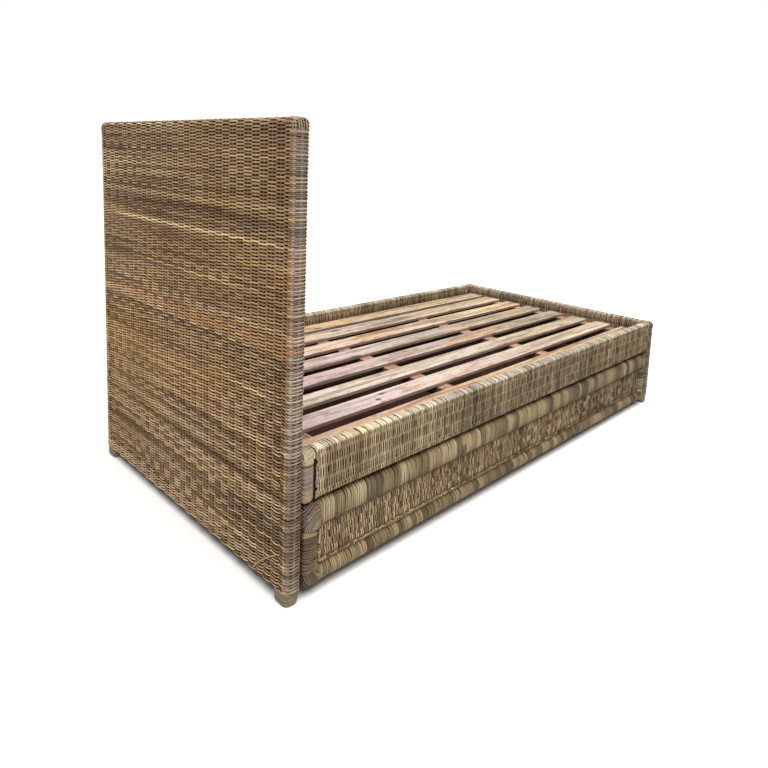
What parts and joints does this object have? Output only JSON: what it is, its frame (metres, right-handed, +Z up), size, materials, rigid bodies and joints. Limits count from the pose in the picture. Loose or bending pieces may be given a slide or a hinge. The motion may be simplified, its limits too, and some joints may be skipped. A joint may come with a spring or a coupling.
{
  "type": "rush bed with trundle",
  "caption": "Single bed with a tall woven headboard, low woven footboard and side rails, a slatted platform and a woven-fronted trundle that rolls out from one side.",
  "frame": {"origin": "on the floor, under the middle of the closed bed", "axes": "+X along the bed from headboard to footboard, -Y towards the side the trundle pulls out of, +Z up"},
  "size_m": [2.065, 1.08, 1.165],
  "materials": {
    "weave": "split rattan weave, satin",
    "cane": "flat cane wrapping, satin",
    "frame_timber": "sawn hardwood, raw",
    "slat_timber": "weathered hardwood, raw",
    "board_timber": "planed softwood, raw",
    "fork_steel": "zinc plated",
    "castor_tyre": "moulded, matte"
  },
  "bodies": {
    "bed_frame": {"headboard_woven_cover": "weave", "headboard_stile_near": "frame_timber", "headboard_stile_far": "frame_timber", "headboard_top_rail": "frame_timber", "headboard_middle_rail": "frame_timber", "headboard_bottom_rail": "frame_timber", "footboard_woven_cover": "weave", "footboard_stile_near": "frame_timber", "footboard_stile_far": "frame_timber", "footboard_top_rail": "frame_timber", "footboard_bottom_rail": "frame_timber", "side_rail_near_woven_cover": "weave", "side_rail_near_beam": "frame_timber", "side_rail_near_post_head": "cane", "side_rail_near_post_foot": "cane", "side_rail_far_woven_cover": "weave", "side_rail_far_beam": "frame_timber", "side_rail_far_post_head": "cane", "side_rail_far_post_foot": "cane", "ledger_near": "frame_timber", "ledger_far": "frame_timber", "slat_bearer_1": "slat_timber", "slat_bearer_2": "slat_timber", "slat_bearer_3": "slat_timber", "slat_bearer_4": "slat_timber", "slat_1": "slat_timber", "slat_2": "slat_timber", "slat_3": "slat_timber", "slat_4": "slat_timber", "slat_5": "slat_timber", "slat_6": "slat_timber", "slat_7": "slat_timber", "slat_8": "slat_timber"},
    "trundle": {"trundle_front_wrapped_frame": "cane", "trundle_front_woven_panel": "weave", "trundle_front_board": "board_timber", "trundle_back_board": "board_timber", "trundle_end_board_head": "board_timber", "trundle_end_board_foot": "board_timber", "trundle_bearer_1": "slat_timber", "trundle_bearer_2": "slat_timber", "trundle_bearer_3": "slat_timber", "trundle_bearer_4": "slat_timber", "trundle_slat_1": "slat_timber", "trundle_slat_2": "slat_timber", "trundle_slat_3": "slat_timber", "trundle_slat_4": "slat_timber", "trundle_slat_5": "slat_timber", "trundle_slat_6": "slat_timber", "trundle_slat_7": "slat_timber", "castor_fork_front_head": "fork_steel", "castor_fork_front_foot": "fork_steel", "castor_fork_back_head": "fork_steel", "castor_fork_back_foot": "fork_steel"},
    "wheel_front_head": {"castor_wheel_front_head": "castor_tyre"},
    "wheel_front_foot": {"castor_wheel_front_foot": "castor_tyre"},
    "wheel_back_head": {"castor_wheel_back_head": "castor_tyre"},
    "wheel_back_foot": {"castor_wheel_back_foot": "castor_tyre"}
  },
  "joints": [
    {"name": "trundle_slide", "type": "slide", "parent": "bed_frame", "child": "trundle", "axis": [0, -1, 0], "range_m": [0, 0.95]},
    {"name": "wheel_front_head_spin", "type": "hinge", "parent": "trundle", "child": "wheel_front_head", "pos_m": [-0.87, -0.3867, 0.022], "axis": [1, 0, 0], "continuous": true},
    {"name": "wheel_front_foot_spin", "type": "hinge", "parent": "trundle", "child": "wheel_front_foot", "pos_m": [0.87, -0.3867, 0.022], "axis": [1, 0, 0], "continuous": true},
    {"name": "wheel_back_head_spin", "type": "hinge", "parent": "trundle", "child": "wheel_back_head", "pos_m": [-0.87, 0.425, 0.022], "axis": [1, 0, 0], "continuous": true},
    {"name": "wheel_back_foot_spin", "type": "hinge", "parent": "trundle", "child": "wheel_back_foot", "pos_m": [0.87, 0.425, 0.022], "axis": [1, 0, 0], "continuous": true}
  ],
  "couplings": [
    {"joint": "wheel_front_head_spin", "follows": "trundle_slide", "rad_per_m": 45.455},
    {"joint": "wheel_front_foot_spin", "follows": "trundle_slide", "rad_per_m": 45.455},
    {"joint": "wheel_back_head_spin", "follows": "trundle_slide", "rad_per_m": 45.455},
    {"joint": "wheel_back_foot_spin", "follows": "trundle_slide", "rad_per_m": 45.455}
  ]
}
